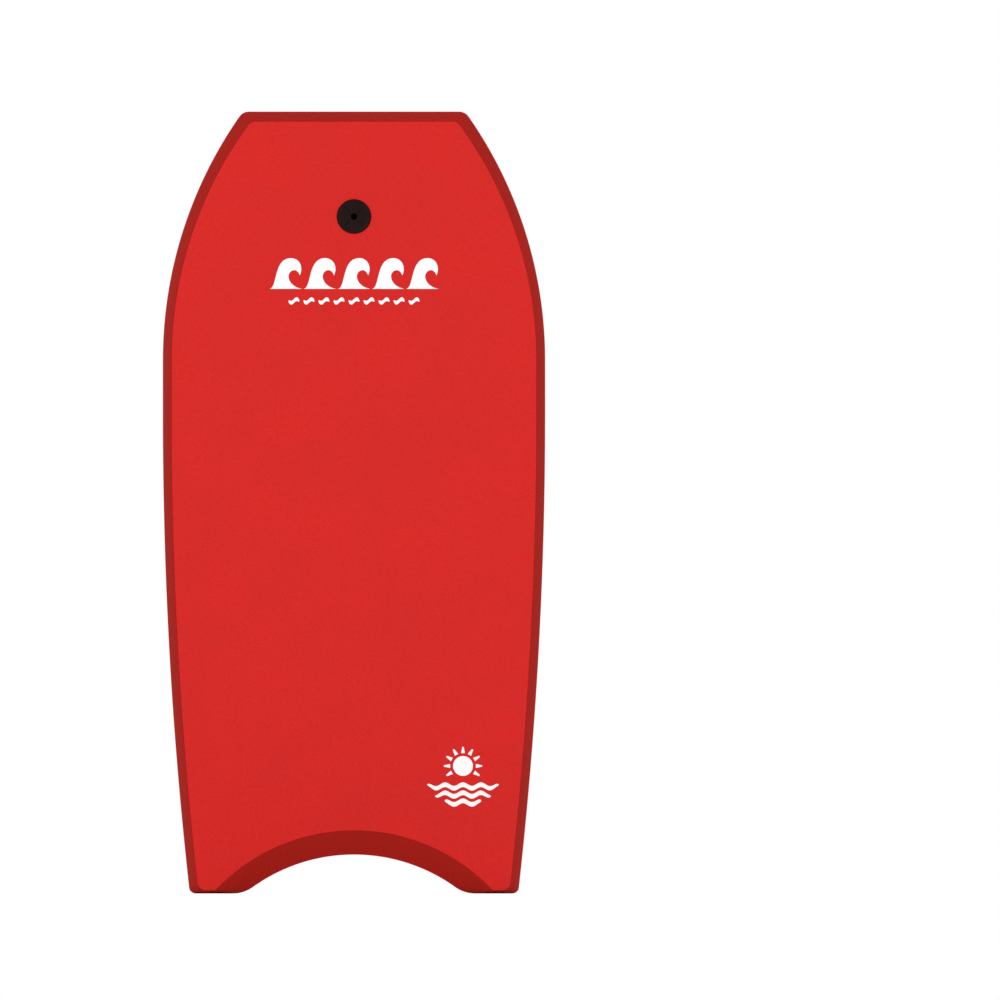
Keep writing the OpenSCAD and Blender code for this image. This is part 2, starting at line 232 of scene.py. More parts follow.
core_top_line = whole(half_outline(
    HALF - CHINE - 4, SIDE_R - 41, LENGTH - NOSE_CHINE - 4, NOSE_R - 9,
    STRIP + 2, TAIL_R - 1, BAY_R + 26, BAY_DEPTH + BAY_CHINE + 4, TIP_R - 44))


def raised(line, z):
    """The plan line at height z."""
    return np.column_stack([line, np.full(len(line), float(z))])


# ---------------------------------------------------------------- the channels in the slick
# Directions along the +x channel and across it towards the centre line, from its outer corner
along = np.array([math.sin(CHANNEL_ANGLE), math.cos(CHANNEL_ANGLE)])
inward = np.array([-math.cos(CHANNEL_ANGLE), math.sin(CHANNEL_ANGLE)])
channel_corner = np.array([CHANNEL_EDGE, 0.0])


def channel_width_at(v):
    """Width of the channel v along its outer edge. Its front end is a quarter of an ellipse."""
    t = np.clip((v - (CHANNEL_LENGTH - CHANNEL_NOSE)) / CHANNEL_NOSE, 0, 1)
    return CHANNEL_W * np.sqrt(np.maximum(1 - t ** 2, 0))


def smooth_step(t):
    t = np.clip(t, 0, 1)
    return t * t * (3 - 2 * t)


def channel_place(x, y):
    """Distances from the channel's inner edge, from its outer edge, and along it."""
    p = np.stack([np.abs(x), y], axis=-1) - channel_corner
    v, u = p @ along, p @ inward
    return channel_width_at(v) - u, u, v


def channel_depth(x, y):
    """How far the slick lies above z = 0 in the channels, and 0 outside them."""
    from_inner, u, v = channel_place(x, y)
    rise = CHANNEL_DEPTH - CHANNEL_OUTER_DEPTH
    floor = CHANNEL_OUTER_DEPTH * (1 - v / CHANNEL_OUTER_RUN) + rise * u / CHANNEL_W
    walls = smooth_step(from_inner / INNER_WALL) * smooth_step(u / OUTER_WALL)
    inside = (v < CHANNEL_LENGTH) & (u > 0) & (from_inner > 0)
    return np.where(inside, np.maximum(floor, 0) * walls, 0.0)


def painted_channel_shade(x, y):
    """Painted shade in a channel, a fixed darkening that stands in for its shading: less at its
    outer edge, and less along the inner wall, most of all near the tail, where the wall is deep and
    casts its own shadow."""
    from_inner, u, v = channel_place(x, y)
    inside = (v < CHANNEL_LENGTH) & (u > SHADE_EDGE) & (from_inner > SHADE_EDGE)
    level = SHADE_OUTER + (1 - SHADE_OUTER) * np.clip(u / CHANNEL_W, 0, 1)
    at_wall = np.clip(SHADE_FRONT - SHADE_DROP * (1 - v / CHANNEL_OUTER_RUN), 0, 1)
    near_wall = at_wall + (1 - at_wall) * smooth_step(from_inner / WALL_SHADOW)
    return np.where(inside, level * near_wall, 0.0)


# ---------------------------------------------------------------- meshes
def finish_piece(name, bm, materials, nodes=(), smooth=38):
    """A visible piece that rides on the board. Edges sharper than smooth degrees stay crisp."""
    bmesh.ops.recalc_face_normals(bm, faces=bm.faces)
    mesh = bpy.data.meshes.new(name)
    bm.to_mesh(mesh)
    bm.free()
    for m in materials:
        mesh.materials.append(m)
    mesh.shade_smooth()
    mesh.set_sharp_from_angle(angle=math.radians(smooth))
    obj = bpy.data.objects.new(name, mesh)
    bpy.context.scene.collection.objects.link(obj)
    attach(obj, "root")
    if nodes:
        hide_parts(*nodes)
    return obj


def as_object(name, bm):
    bmesh.ops.recalc_face_normals(bm, faces=bm.faces)
    mesh = bpy.data.meshes.new(name)
    bm.to_mesh(mesh)
    bm.free()
    obj = bpy.data.objects.new(name, mesh)
    bpy.context.scene.collection.objects.link(obj)
    return obj


def cut(bm, *cutters):
    """The mesh with each cutter taken away, as a new mesh."""
    body = as_object("blank", bm)
    tools = [as_object("cutter", c) for c in cutters]
    for tool in tools:
        step = body.modifiers.new("cut", "BOOLEAN")
        step.operation, step.solver, step.object = "DIFFERENCE", "EXACT", tool
    result = bmesh.new()
    result.from_object(body, bpy.context.evaluated_depsgraph_get())
    for o in (body, *tools):
        data = o.data
        bpy.data.objects.remove(o)
        bpy.data.meshes.remove(data)
    return result


def ring(bm, points):
    return [bm.verts.new(place(*p)) for p in points]


def bridge(bm, a, b, closed=True):
    """Quads between two rings, or between two rows if they aren't closed."""
    n = len(a)
    for i in range(n if closed else n - 1):
        j = (i + 1) % n
        bm.faces.new((a[i], a[j], b[j], b[i]))


def loop_edges(bm, verts):
    out = []
    for i, v in enumerate(verts):
        w = verts[(i + 1) % len(verts)]
        out.append(bm.edges.get((v, w)) or bm.edges.new((v, w)))
    return out


def fill(bm, *loops):
    """Fills the flat area inside the first loop and outside the others."""
    edges = [e for verts in loops for e in loop_edges(bm, verts)]
    return bmesh.ops.triangle_fill(bm, edges=edges, use_beauty=True)["geom"]


def rounded_sections(corners, radii, steps=4):
    """Sections of a swept strip with rounded corners. Each corner is a line of 3D points, and each
    section is one closed ring across them."""
    largest_share = 0.45
    rings = []
    for j, p in enumerate(corners):
        a, b = corners[j - 1], corners[(j + 1) % len(corners)]
        to_a = np.minimum(radii[j] / np.linalg.norm(a - p, axis=1), largest_share)[:, None]
        to_b = np.minimum(radii[j] / np.linalg.norm(b - p, axis=1), largest_share)[:, None]
        start, end = p + (a - p) * to_a, p + (b - p) * to_b
        for t in np.linspace(0, 1, steps + 1):
            rings.append((1 - t) ** 2 * start + 2 * t * (1 - t) * p + t ** 2 * end)
    return np.stack(rings, axis=1)


def foam_strip(sections, first, last, seam=0.25):
    """A strip swept from outline point first to last, with slightly eased ends at its seams."""
    count = len(sections)
    run = sections[[i % count for i in range(first, last + 1)]]

    def eased(end, after):
        step = (after - end) / np.linalg.norm(after - end, axis=1)[:, None]
        inside = end.mean(axis=0) - end
        inside /= np.linalg.norm(inside, axis=1)[:, None]
        return end + inside * seam, end + step * seam

    head, head_full = eased(run[0], run[1])
    foot, foot_full = eased(run[-1], run[-2])
    stations = np.concatenate([[head, head_full], run[1:-1], [foot_full, foot]])
    bm = bmesh.new()
    rings = [ring(bm, s) for s in stations]
    for a, b in zip(rings, rings[1:]):
        bridge(bm, a, b)
    bm.faces.new(rings[0][::-1])
    bm.faces.new(rings[-1])
    return bm


def inset(line, d):
    """The closed line moved inwards by d."""
    before, after = np.roll(line, 1, axis=0), np.roll(line, -1, axis=0)
    t = after - before
    t /= np.linalg.norm(t, axis=1)[:, None]
    return line + np.stack([t[:, 1], -t[:, 0]], axis=1) * d


def circle(r, z, steps=128):
    """A circle of points round the leash plug's axis."""
    a = np.linspace(0, 2 * math.pi, steps, endpoint=False)
    return np.stack([r * np.cos(a), PLUG_Y + r * np.sin(a), np.full(steps, float(z))], axis=1)


# ---------------------------------------------------------------- materials
# Most values of one noise, and of two added together, lie between these
ONE_NOISE = (0.3, 0.7)
TWO_NOISES = (0.7, 1.3)


class Look:
    """A material with a few helpers that add procedural nodes in object space."""

    def __init__(self, name, rough=0.5):
        self.material = bpy.data.materials.new(name)
        self.material.use_nodes = True
        self.tree = self.material.node_tree
        self.tree.nodes.clear()
        self.out = self.tree.nodes.new("ShaderNodeOutputMaterial")
        self.shader = self.tree.nodes.new("ShaderNodeBsdfPrincipled")
        self.shader.inputs["Roughness"].default_value = rough
        self.tree.links.new(self.shader.outputs[0], self.out.inputs["Surface"])
        self.coord = self.tree.nodes.new("ShaderNodeTexCoord").outputs["Object"]

    def node(self, kind, **settings):
        n = self.tree.nodes.new("ShaderNode" + kind)
        for k, v in settings.items():
            setattr(n, k, v)
        return n

    def join(self, a, b):
        self.tree.links.new(a, b)

    def stretched(self, scale):
        m = self.node("Mapping")
        m.inputs["Scale"].default_value = scale
        self.join(self.coord, m.inputs["Vector"])
        return m.outputs["Vector"]

    def noise(self, size_mm, detail=3.0, rough=0.55, vector=None):
        n = self.node("TexNoise")
        n.inputs["Scale"].default_value = 1000 / size_mm
        n.inputs["Detail"].default_value = detail
        n.inputs["Roughness"].default_value = rough
        self.join(vector or self.coord, n.inputs["Vector"])
        return n.outputs["Fac"]

    def cells(self, size_mm, feature="F1", vector=None):
        n = self.node("TexVoronoi", feature=feature)
        n.inputs["Scale"].default_value = 1000 / size_mm
        self.join(vector or self.coord, n.inputs["Vector"])
        return n.outputs["Distance"]

    def maths(self, kind, a, b=None):
        n = self.node("Math", operation=kind)
        for i, value in enumerate((a, b)):
            if value is None:
                continue
            if isinstance(value, (int, float)):
                n.inputs[i].default_value = value
            else:
                self.join(value, n.inputs[i])
        return n.outputs[0]

    def ranged(self, value, low, high, to_low, to_high, smooth=False):
        n = self.node("MapRange", interpolation_type="SMOOTHSTEP" if smooth else "LINEAR")
        for i, v in enumerate((low, high, to_low, to_high)):
            n.inputs[i + 1].default_value = v
        self.join(value, n.inputs[0])
        return n.outputs[0]

    def mixed(self, fac, a, b):
        # Inputs 6 and 7 and output 2 are the node's colours
        n = self.node("Mix", data_type="RGBA")
        self.join(fac, n.inputs[0])
        for i, v in ((6, a), (7, b)):
            if isinstance(v, tuple):
                n.inputs[i].default_value = (*v, 1)
            else:
                self.join(v, n.inputs[i])
        return n.outputs[2]

    def colour(self, value):
        self.join(value, self.shader.inputs["Base Color"])

    def roughness(self, value):
        self.join(value, self.shader.inputs["Roughness"])

    def bump(self, height, depth_mm, strength=1.0):
        n = self.node("Bump")
        n.inputs["Strength"].default_value = strength
        n.inputs["Distance"].default_value = depth_mm * MM
        self.join(height, n.inputs["Height"])
        if self.shader.inputs["Normal"].is_linked:
            self.join(self.shader.inputs["Normal"].links[0].from_socket, n.inputs["Normal"])
        self.join(n.outputs[0], self.shader.inputs["Normal"])


def shade(c, k):
    return tuple(min(1.0, v * k) for v in c)


def foam(name, colour, cell_mm, depth_mm,
         rough=(0.56, 0.7), mottling=0.05, wave_mm=0.0, gloss=0.16):
    """Closed-cell foam: rounded cells pressed flat by the mould, with a faint mottling, and painted
    shade in the hollows between the cells. wave_mm is the height of the sheet's slow unevenness."""
    look = Look(name)
    cell = look.cells(cell_mm, "SMOOTH_F1")
    fine = look.noise(cell_mm * 0.35, 2.0)
    broad = look.noise(85, 4.0)
    drift = look.ranged(broad, *ONE_NOISE, 0, 1, True)
    tone = look.mixed(drift, shade(colour, 1 - mottling), shade(colour, 1 + mottling))
    # Painted shade: the hollows between the cells are painted darker
    painted_pit_shade = look.ranged(cell, 0.25, 0.75, 0, 0.55, True)
    look.colour(look.mixed(painted_pit_shade, tone, shade(colour, 0.8)))
    look.roughness(look.ranged(look.maths("ADD", fine, broad), *TWO_NOISES, *rough))
    domes, grain = look.maths("MULTIPLY", cell, -0.8), look.maths("MULTIPLY", fine, 0.25)
    surface = look.maths("ADD", domes, grain)
    if wave_mm:
        look.bump(look.noise(140, 2.0), wave_mm)
    look.bump(surface, depth_mm)
    look.shader.inputs["Specular IOR Level"].default_value = gloss
    return look.material


def slick_plastic(name, colour, darkening):
    """Smooth sheet plastic: faint orange peel, and fine lines left by the rollers. darkening is
    how strongly the painted shade written on the channels' vertices acts, and it may pass 1."""
    look = Look(name)
    peel = look.noise(7, 2.0)
    lines = look.noise(1.4, 2.0, vector=look.stretched((1, 1, 0.04)))
    broad = look.noise(120, 3.0)
    tone = look.mixed(look.ranged(broad, *ONE_NOISE, 0, 1, True), shade(colour, 0.965), colour)
    # Painted shade: the channels' vertices carry a fixed darkening that mixes the colour towards
    # black
    hollow = look.node("Attribute", attribute_name="painted_channel_shade").outputs["Fac"]
    look.colour(look.mixed(look.ranged(hollow, 0, 1, 0, darkening), tone, (0, 0, 0)))
    look.roughness(look.ranged(look.maths("ADD", broad, lines), *TWO_NOISES, 0.2, 0.34))
    look.bump(peel, 0.05)
    look.bump(lines, 0.012)
    look.shader.inputs["Specular IOR Level"].default_value = 0.16
    return look.material


def ink(name, colour, rough):
    """Screen-printed ink that settles into the surface under it."""
    look = Look(name)
    grain = look.noise(0.9, 2.0)
    patchy = look.noise(30, 4.0)
    drift = look.ranged(patchy, *ONE_NOISE, 0, 1, True)
    look.colour(look.mixed(drift, shade(colour, 0.95), colour))
    mixed = look.maths("ADD", grain, patchy)
    look.roughness(look.ranged(mixed, *TWO_NOISES, rough - 0.07, rough + 0.07))
    cells = look.cells(1.7, "SMOOTH_F1")
    look.bump(look.maths("ADD", cells, look.maths("MULTIPLY", grain, 0.3)), 0.08)
    return look.material


def moulded(name, colour, rough=0.38):
    """Injection-moulded plastic with a fine spark-eroded texture."""
    look = Look(name)
    grain = look.noise(0.45, 3.0)
    flow = look.noise(14, 3.0, vector=look.stretched((1, 1, 0.4)))
    streaks = look.ranged(flow, *ONE_NOISE, 0, 1, True)
    look.colour(look.mixed(streaks, shade(colour, 0.8), shade(colour, 1.25)))
    mixed = look.maths("ADD", grain, flow)
    look.roughness(look.ranged(mixed, *TWO_NOISES, rough - 0.07, rough + 0.1))
    look.bump(grain, 0.035)
    look.shader.inputs["Specular IOR Level"].default_value = 0.1
    return look.material


def beads(name, colour):
    """Expanded beads fused together, cut through with a hot wire."""
    look = Look(name)
    edge = look.cells(3.4, "DISTANCE_TO_EDGE")
    joint = look.ranged(edge, 0.0, 0.12, 1, 0, True)
    look.colour(look.mixed(joint, colour, shade(colour, 0.72)))
    look.roughness(look.ranged(look.noise(2.0), *ONE_NOISE, 0.6, 0.8))
    look.bump(look.ranged(edge, 0.0, 0.3, 0, 1, True), 0.35)
    return look.material


def woven(name, colour):
    """Two crossing sets of yarns."""
    look = Look(name)
    waves = []
    for direction in ("X", "Z"):
        w = look.node("TexWave", wave_type="BANDS", bands_direction=direction)
        w.inputs["Scale"].default_value = 160
        w.inputs["Distortion"].default_value = 0.15
        look.join(look.coord, w.inputs["Vector"])
        waves.append(w.outputs["Fac"])
    over = look.maths("MAXIMUM", waves[0], waves[1])
    look.colour(look.mixed(over, shade(colour, 0.45), colour))
    look.roughness(look.ranged(look.noise(1.2), *ONE_NOISE, 0.42, 0.58))
    look.bump(over, 0.2)
    return look.material


def wound_fibre(name, colour):
    """Fibres wound round a tube at a slant under clear resin."""
    look = Look(name)
    w = look.node("TexWave", wave_type="BANDS", bands_direction="DIAGONAL")
    w.inputs["Scale"].default_value = 190
    w.inputs["Distortion"].default_value = 1.2
    look.join(look.coord, w.inputs["Vector"])
    look.colour(look.mixed(w.outputs["Fac"], shade(colour, 0.55), shade(colour, 1.5)))
    look.roughness(look.ranged(look.noise(4), *ONE_NOISE, 0.24, 0.36))
    look.bump(w.outputs["Fac"], 0.04)
    look.shader.inputs["Coat Weight"].default_value = 0.5
    return look.material


RED = (0.605, 0.0135, 0.0108)
RAIL_RED = (0.63, 0.0135, 0.0105)
# The chines' darker red is painted shade: the board's red made darker to stand in for the shade on
# their sideways-tilted faces
CHINE_PAINTED_SHADE_RED = (0.345, 0.0098, 0.0052)
BLACK = (0.0068, 0.0037, 0.0045)
WHITE = (0.9, 0.9, 0.895)
PLUG = (0.0092, 0.0024, 0.0018)

deck_foam = foam("deck_foam", RED, cell_mm=1.7, depth_mm=0.22, mottling=0.03, wave_mm=0.6)
rail_foam = foam(
    "rail_foam", RAIL_RED, cell_mm=1.1, depth_mm=0.07,
    rough=(0.44, 0.56), mottling=0.03, gloss=0.03)
# The chines' foam carries the darker red that is painted shade
chine_foam = foam(
    "chine_foam", CHINE_PAINTED_SHADE_RED, cell_mm=1.1, depth_mm=0.07,
    rough=(0.46, 0.58), mottling=0.03, gloss=0.08)
# Both sheets carry the channels' painted shade, and on the black squares it acts more strongly
slick_white = slick_plastic("slick_white", WHITE, darkening=0.5)
slick_black = slick_plastic("slick_black", BLACK, darkening=2.0)
white_ink = ink("white_ink", WHITE, rough=0.5)
red_ink = ink("red_ink", RED, rough=0.34)
plug_plastic = moulded("plug_plastic", PLUG)

# The nodes inside the board keep the CAD's shapes
for node_name, material in (
    ("core", beads("core_beads", (0.86, 0.87, 0.88))),
    ("bore_plug", beads("bore_plug_beads", (0.8, 0.82, 0.84))),
    ("slick_backing", foam("backing_foam", (0.78, 0.78, 0.77), cell_mm=0.8, depth_mm=0.08)),
    ("deck_mesh", woven("deck_mesh_yarn", (0.7, 0.7, 0.68))),
    ("slick_mesh", woven("slick_mesh_yarn", (0.68, 0.69, 0.7))),
    ("stringer", wound_fibre("stringer_fibre", (0.05, 0.05, 0.055))),
    ("stringer_nose_cap", moulded("nose_cap_plastic", (0.02, 0.02, 0.02), 0.45)),
    ("stringer_tail_cap", moulded("tail_cap_plastic", (0.02, 0.02, 0.02), 0.45)),
):
    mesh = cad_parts[node_name].data
    mesh.materials.clear()
    mesh.materials.append(material)

# ---------------------------------------------------------------- deck skin
# Radius of the lip round the plug, and widths of the flat bands beside the seam and the lip
LIP_R = 0.7
SEAM_BAND = 1.2
LIP_BAND = 2.0


def roll(line, r, top, steps=5):
    """Rings that roll an edge over from the line's own height to the flat face, outermost first."""
    out = []
    for i in range(steps + 1):
        a = math.pi / 2 * i / steps
        out.append(raised(inset(line, r * (1 - math.cos(a))), top - r + r * math.sin(a)))
    return out


bm = bmesh.new()
outer = [ring(bm, raised(deck_line, DECK_BASE))]
outer += [ring(bm, r) for r in roll(deck_line, SEAM_R, THICK)]
outer.append(ring(bm, raised(inset(deck_line, SEAM_R + SEAM_BAND), THICK)))
for a, b in zip(outer, outer[1:]):
    bridge(bm, a, b)
recess_r = FLANGE_R + PLUG_GAP
socket_hole_r = SOCKET_R + PLUG_GAP
inner = [ring(bm, circle(recess_r + LIP_BAND, THICK))]
for a in np.radians(np.linspace(90, 0, 5)):
    r, z = recess_r + LIP_R - LIP_R * math.cos(a), THICK - LIP_R + LIP_R * math.sin(a)
    inner.append(ring(bm, circle(r, z)))
inner.append(ring(bm, circle(recess_r, THICK - SUNK)))
inner.append(ring(bm, circle(socket_hole_r, THICK - SUNK)))
inner.append(ring(bm, circle(socket_hole_r, DECK_BASE)))
for a, b in zip(inner, inner[1:]):
    bridge(bm, a, b)
fill(bm, outer[-1], inner[0])
fill(bm, outer[0], inner[-1])
finish_piece("deck_skin_foam", bm, [deck_foam], ["deck_skin"])

# ---------------------------------------------------------------- rails and chines
def across(p):
    """How far inwards of the channel's outer edge the place lies."""
    return (np.asarray(p) - channel_corner) @ inward


def crossing(line, u):
    """The place along the line's +x half where it passes u inwards of the channel's outer edge."""
    for i in range(TAIL_JOINT, HALF_COUNT - 1):
        a, b = across(line[i]), across(line[i + 1])
        if a <= u < b:
            return i + (u - a) / (b - a)
    raise ValueError("the line doesn't cross the channel")


def between(line, place_along):
    """The line's points at these places along it, which needn't be whole numbers."""
    low = np.floor(place_along).astype(int)
    high = np.minimum(low + 1, len(line) - 1)
    t = (place_along - low)[:, None]
    return line[low] * (1 - t) + line[high] * t


# Distances from a channel's inner edge that its surface is drawn at, closest together at the walls
columns = np.concatenate([
    np.linspace(0, INNER_WALL, 8),
    np.linspace(INNER_WALL, CHANNEL_W - OUTER_WALL, 14)[1:-1],
    np.linspace(CHANNEL_W - OUTER_WALL, CHANNEL_W, 6),
])
mouth = np.array([crossing(slick_line, CHANNEL_W - c) for c in columns])

# The strips' corners, and the radius that each is rounded to
chine_sections = rounded_sections([
    raised(apex_line, APEX),
    raised(deck_line, THICK),
    raised(deck_line, DECK_BASE),
    raised(core_top_line, DECK_BASE),
    raised(core_top_line, CORE_TOP),
    raised(core_apex_line, APEX),
], [EDGE_R, SEAM_R, 0.2, 0.2, 0.2, 0.5])
rail_sections = rounded_sections([
    raised(apex_line, APEX),
    raised(core_apex_line, APEX),
    raised(core_base_line, CORE_BASE),
    raised(core_base_line, SKIN),
    raised(slick_line, SKIN),
    raised(slick_line, 0),
    raised(base_line, 0),
], [EDGE_R, 0.5, 0.3, 0.3, 0.1, 0.1, BASE_R])

FULL = len(apex_line)
STRAIGHT_ROWS = 24
# How far the cutters run past the tail line and below the slick
CUTTER_PAST = 20.0
CUTTER_BELOW = 5.0


def channel_grid(starts, tip_rows=18):
    """Rows of points over the +x channel, from these distances along it to its front tip."""
    straight_end = CHANNEL_LENGTH - CHANNEL_NOSE
    bend = CHANNEL_NOSE * np.sin(np.radians(np.linspace(0, 90, tip_rows + 1)))[1:]
    rows = [starts + (straight_end - starts) * t for t in np.linspace(0, 1, STRAIGHT_ROWS + 1)]
    rows += [np.full(len(columns), straight_end + b) for b in bend]
    out = []
    for v in rows:
        width = channel_width_at(v)
        u = width - columns * width / CHANNEL_W
        out.append(channel_corner + v[:, None] * along + u[:, None] * inward)
    return out


def channel_cutter(side):
    """The space under a channel's floor sheet, for cutting the tail's foam."""
    bm = bmesh.new()
    rows = channel_grid(np.full(len(columns), -CUTTER_PAST))[:STRAIGHT_ROWS]
    levels = []
    for low in (True, False):
        net = []
        for row in rows:
            if low:
                z = np.full(len(row), -CUTTER_BELOW)
            else:
                z = channel_depth(row[:, 0], row[:, 1]) + SKIN
            net.append(ring(bm, np.column_stack([row * (side, 1), z])))
        for a, b in zip(net, net[1:]):
            bridge(bm, a, b, closed=False)
        levels.append(net)
    floor, roof = levels
    bridge(bm, floor[0], roof[0], closed=False)
    bridge(bm, floor[-1], roof[-1], closed=False)
    for j in (0, -1):
        bridge(bm, [row[j] for row in floor], [row[j] for row in roof], closed=False)
    return bm


for kind, sections, material, slot in (
    ("chine", chine_sections, chine_foam, "chine_foam"),
    ("rail", rail_sections, rail_foam, "rail_foam"),
):
    for where, first, last in (
        ("right", NOSE_MITRE, TAIL_JOINT),
        ("left", FULL - 1 - TAIL_JOINT, FULL - 1 - NOSE_MITRE),
        ("nose", -1 - NOSE_MITRE, NOSE_MITRE),
        ("tail", TAIL_JOINT, FULL - 1 - TAIL_JOINT),
    ):
        bm = foam_strip(sections, first, last)
        if (where, kind) == ("tail", "rail"):
            bm = cut(bm, channel_cutter(1), channel_cutter(-1))
        name = where + "_" + kind
        finish_piece(name + "_foam", bm, [material], [name])

# ---------------------------------------------------------------- slick skin
def slick_point(p):
    return (p[0], p[1], float(channel_depth(np.float64(p[0]), np.float64(p[1]))))


def margin_curve(first, last):
    """The edge of the printed squares along one side. It goes on straight past the tail's corner,
    and meets the outline at both its ends."""
    moved = inset(slick_line, MARGIN)[first:last + 1]
    bend = CORNER_START - first
    drop = moved[bend, 1] - slick_line[CORNER_START + 1:last + 1, 1]
    moved[bend + 1:, 0] = moved[bend, 0] - drop * math.tan(math.radians(TAIL_ANGLE))
    moved[bend + 1:, 1] = moved[bend, 1] - drop
    moved[0], moved[-1] = slick_line[first], slick_line[last]
    return moved


grid = channel_grid((between(slick_line, mouth) - channel_corner) @ along)
first_side, last_side = STEPS["nose"], TAIL_JOINT - 1
margin = margin_curve(first_side, last_side)
outer_index = math.floor(mouth[-1])
inner_index = math.floor(mouth[0])

bm = bmesh.new()
halves = {}
for side in (1, -1):
    flip = np.array([side, 1])
    net = []
    for row in grid[:-1]:
        net.append([bm.verts.new(place(*slick_point(p * flip))) for p in row])
    tip = bm.verts.new(place(*slick_point(grid[-1][0] * flip)))
    for a, b in zip(net, net[1:]):
        bridge(bm, a, b, closed=False)
    for j in range(len(columns) - 1):
        bm.faces.new((net[-1][j], net[-1][j + 1], tip))
    outline_verts = {
        i: bm.verts.new(place(*(slick_line[i] * flip), 0))
        for i in [*range(0, outer_index + 1), *range(inner_index + 1, HALF_COUNT - 1)]
    }
    margin_verts = [outline_verts[first_side]]
    margin_verts += [bm.verts.new(place(*(p * flip), 0)) for p in margin[1:-1]]
    margin_verts.append(outline_verts[last_side])
    side_verts = [outline_verts[i] for i in range(first_side, last_side + 1)]
    for i in range(len(side_verts) - 1):
        # At both ends the margin meets the outline, so the quad is a triangle
        corners = (side_verts[i], side_verts[i + 1], margin_verts[i + 1], margin_verts[i])
        bm.faces.new(list(dict.fromkeys(corners)))
    halves[side] = (
        [outline_verts[i] for i in range(first_side)]
        + margin_verts
        + [outline_verts[i] for i in range(last_side + 1, outer_index + 1)]
        + [row[-1] for row in net] + [tip] + [row[0] for row in net[::-1]]
        + [outline_verts[i] for i in range(inner_index + 1, HALF_COUNT - 1)]
    )
bay_middle = bm.verts.new(place(*slick_line[HALF_COUNT - 1], 0))
recess = ring(bm, circle(recess_r, 0))
fill(bm, halves[1] + [bay_middle] + halves[-1][::-1], recess)

# Cut along the edges of the printed squares
across_lines = [FIRST_LINE + SQUARE * k for k in range(LINE_COUNT)]
column_lines = [COLUMN_SHIFT + SQUARE * (k + 0.5) for k in range(-2, 2)]
for co, no in (
    [(place(0, y, 0), Vector((0, 0, 1))) for y in across_lines]
    + [(place(x, 0, 0), Vector((1, 0, 0))) for x in column_lines]
):
    bmesh.ops.bisect_plane(
        bm, geom=bm.verts[:] + bm.edges[:] + bm.faces[:], plane_co=co, plane_no=no, dist=1e-7)

side_y = slick_line[first_side:last_side + 1, 1][::-1]
margin_x = np.interp(side_y, margin[::-1, 1], margin[::-1, 0])


def is_black(x, y):
    """Squares alternate from the partial row at the nose and the column over the centre line."""
    in_side = side_y[0] < y < side_y[-1]
    if in_side and abs(x) > np.interp(y, side_y, margin_x):
        return False
    row = LINE_COUNT - math.floor((y - FIRST_LINE) / SQUARE + 1)
    column = math.floor((x - COLUMN_SHIFT) / SQUARE + 0.5)
    if row == 0 and abs(column) > 1:
        return False
    return (row + column) % 2 == 0


bm.faces.ensure_lookup_table()
for face in bm.faces:
    c = face.calc_center_median()
    face.material_index = int(is_black(c.x / MM, c.z / MM))
bmesh.ops.recalc_face_normals(bm, faces=bm.faces)

# The sheet's thickness: a copy of the face above it, joined round every open edge
rim = [e for e in bm.edges if e.is_boundary]
faces = bm.faces[:]
copy = bmesh.ops.duplicate(bm, geom=bm.verts[:] + bm.edges[:] + faces)
twin = copy["vert_map"]
copied = [g for g in copy["geom"] if isinstance(g, bmesh.types.BMFace)]
for g in copy["geom"]:
    if isinstance(g, bmesh.types.BMVert):
        g.co.y -= SKIN * MM
for f in copied:
    f.material_index = 0
for e in rim:
    a, b = e.verts
    f = bm.faces.new((a, b, twin[b], twin[a]))
    f.material_index = 0
# Painted shade for the channels, written on the sheet's vertices
layer = bm.verts.layers.float.new("painted_channel_shade")
for v in bm.verts:
    v[layer] = float(painted_channel_shade(v.co.x / MM, v.co.z / MM))
finish_piece(
    "slick_skin_sheet", bm, [slick_white, slick_black], ["slick_skin"], 24)


# ---------------------------------------------------------------- leash plug
RIM_R = 1.3
CORD_LIP_R = 2.2
# The spanner slots reach from SLOT_NEAR to SLOT_FAR. Cutters go CUT_PAST beyond what they cut.
SLOT_NEAR = 9
SLOT_FAR = 16
SLOT_R = 1.2
SLOT_DEPTH = 1.3
CUT_PAST = 2
# A closed face ends in a small flat at the axis
AXIS_R = 0.6
# Radius and depth of the points of the dish: at the rim, round the cord's hole, and with no hole
DISH_EDGE = ((20.4, 0), (19.9, 0.08), (19.4, 0.3), (18.9, 0.38))
HOLE_DEPTH = 0.5
DISH_WITH_HOLE = ((12, 0.42), (7.2, HOLE_DEPTH))
DISH_CLOSED = ((12, 0.4), (AXIS_R, 0.4))


def lathe(profile):
    """A closed profile turned about the plug's axis. Where it has a gap on the axis, flat ends
    fill it."""
    bm = bmesh.new()
    rings = [ring(bm, circle(r, z)) for r, z in profile]
    for a, b, (r, _), (next_r, _) in zip(
            rings, rings[1:] + rings[:1], profile, profile[1:] + profile[:1]):
        if r == next_r == AXIS_R:
            bm.faces.new(a)
            bm.faces.new(b[::-1])
        else:
            bridge(bm, a, b)
    return bm


def quarter(centre, r, start, stop, steps=6):
    return [tuple(p) for p in arc(centre, r, start, stop, steps)]


def prism(bm, outline, low, high):
    """An upright prism whose outline is drawn round the plug's axis."""
    bottom = ring(bm, [(x, PLUG_Y + y, low) for x, y in outline])
    top = ring(bm, [(x, PLUG_Y + y, high) for x, y in outline])
    bridge(bm, bottom, top)
    bm.faces.new(bottom[::-1])
    bm.faces.new(top)


def slot_cutters(low, high):
    """Four rounded slots for a spanner, on the diagonals."""
    bm = bmesh.new()
    outline = np.array(
        quarter((SLOT_FAR, 0), SLOT_R, -90, 90, 10) + quarter((SLOT_NEAR, 0), SLOT_R, 90, 270, 10))
    for turn in (45, 135, 225, 315):
        c, s = math.cos(math.radians(turn)), math.sin(math.radians(turn))
        prism(bm, outline @ np.array([[c, s], [-s, c]]), low, high)
    return bm


